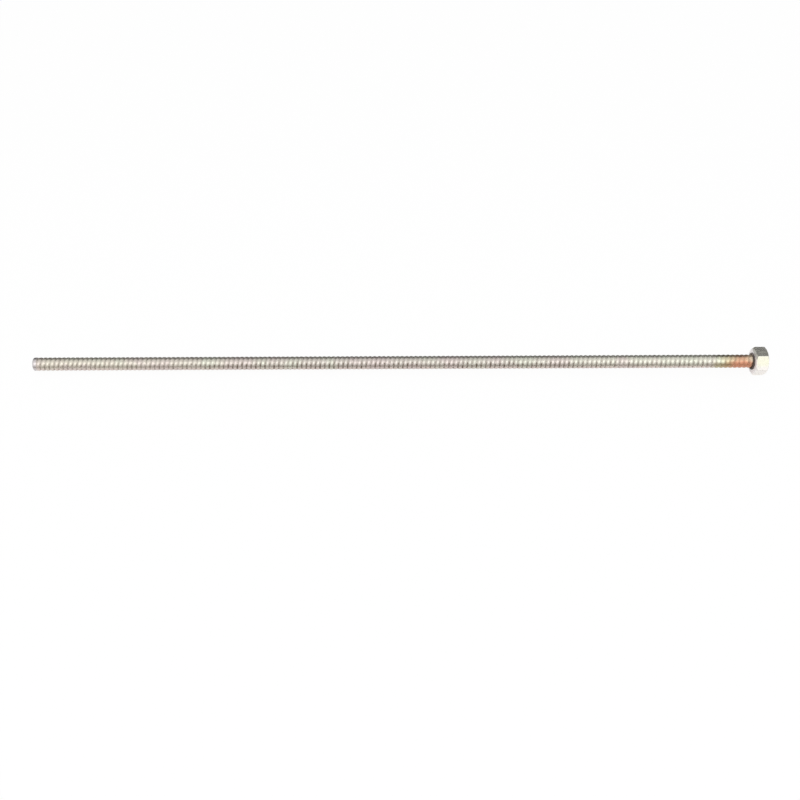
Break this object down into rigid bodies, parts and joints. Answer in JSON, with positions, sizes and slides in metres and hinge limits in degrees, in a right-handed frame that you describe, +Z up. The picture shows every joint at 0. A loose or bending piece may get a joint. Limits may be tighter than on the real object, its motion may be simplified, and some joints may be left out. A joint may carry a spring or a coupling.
{
  "type": "threaded rod",
  "caption": "Long threaded steel rod lying on its side, with a hexagon nut welded flush on one end and a narrow dark weld ring behind the nut.",
  "frame": {"origin": "on the rod's axis, in the plane of the nut's inner face, where the thread meets the nut", "axes": "+X along the rod towards the nut, so the free end is at -X; +Z up, square to two flats of the nut"},
  "size_m": [0.6751, 0.0268, 0.0232],
  "materials": {
    "rod_zinc": "thin yellow-passivated zinc on rolled thread, faintly iridescent, with brown marks in the grooves and an orange heat-tinted stretch beside the nut",
    "nut_zinc": "bright pale zinc, smooth flats with turned chamfers",
    "weld_oxide": "dark brown heat-scaled weld, dull and slightly rippled"
  },
  "bodies": {
    "root": {"threaded_rod": "rod_zinc", "hex_nut": "nut_zinc", "weld_bead": "weld_oxide"}
  },
  "joints": []
}
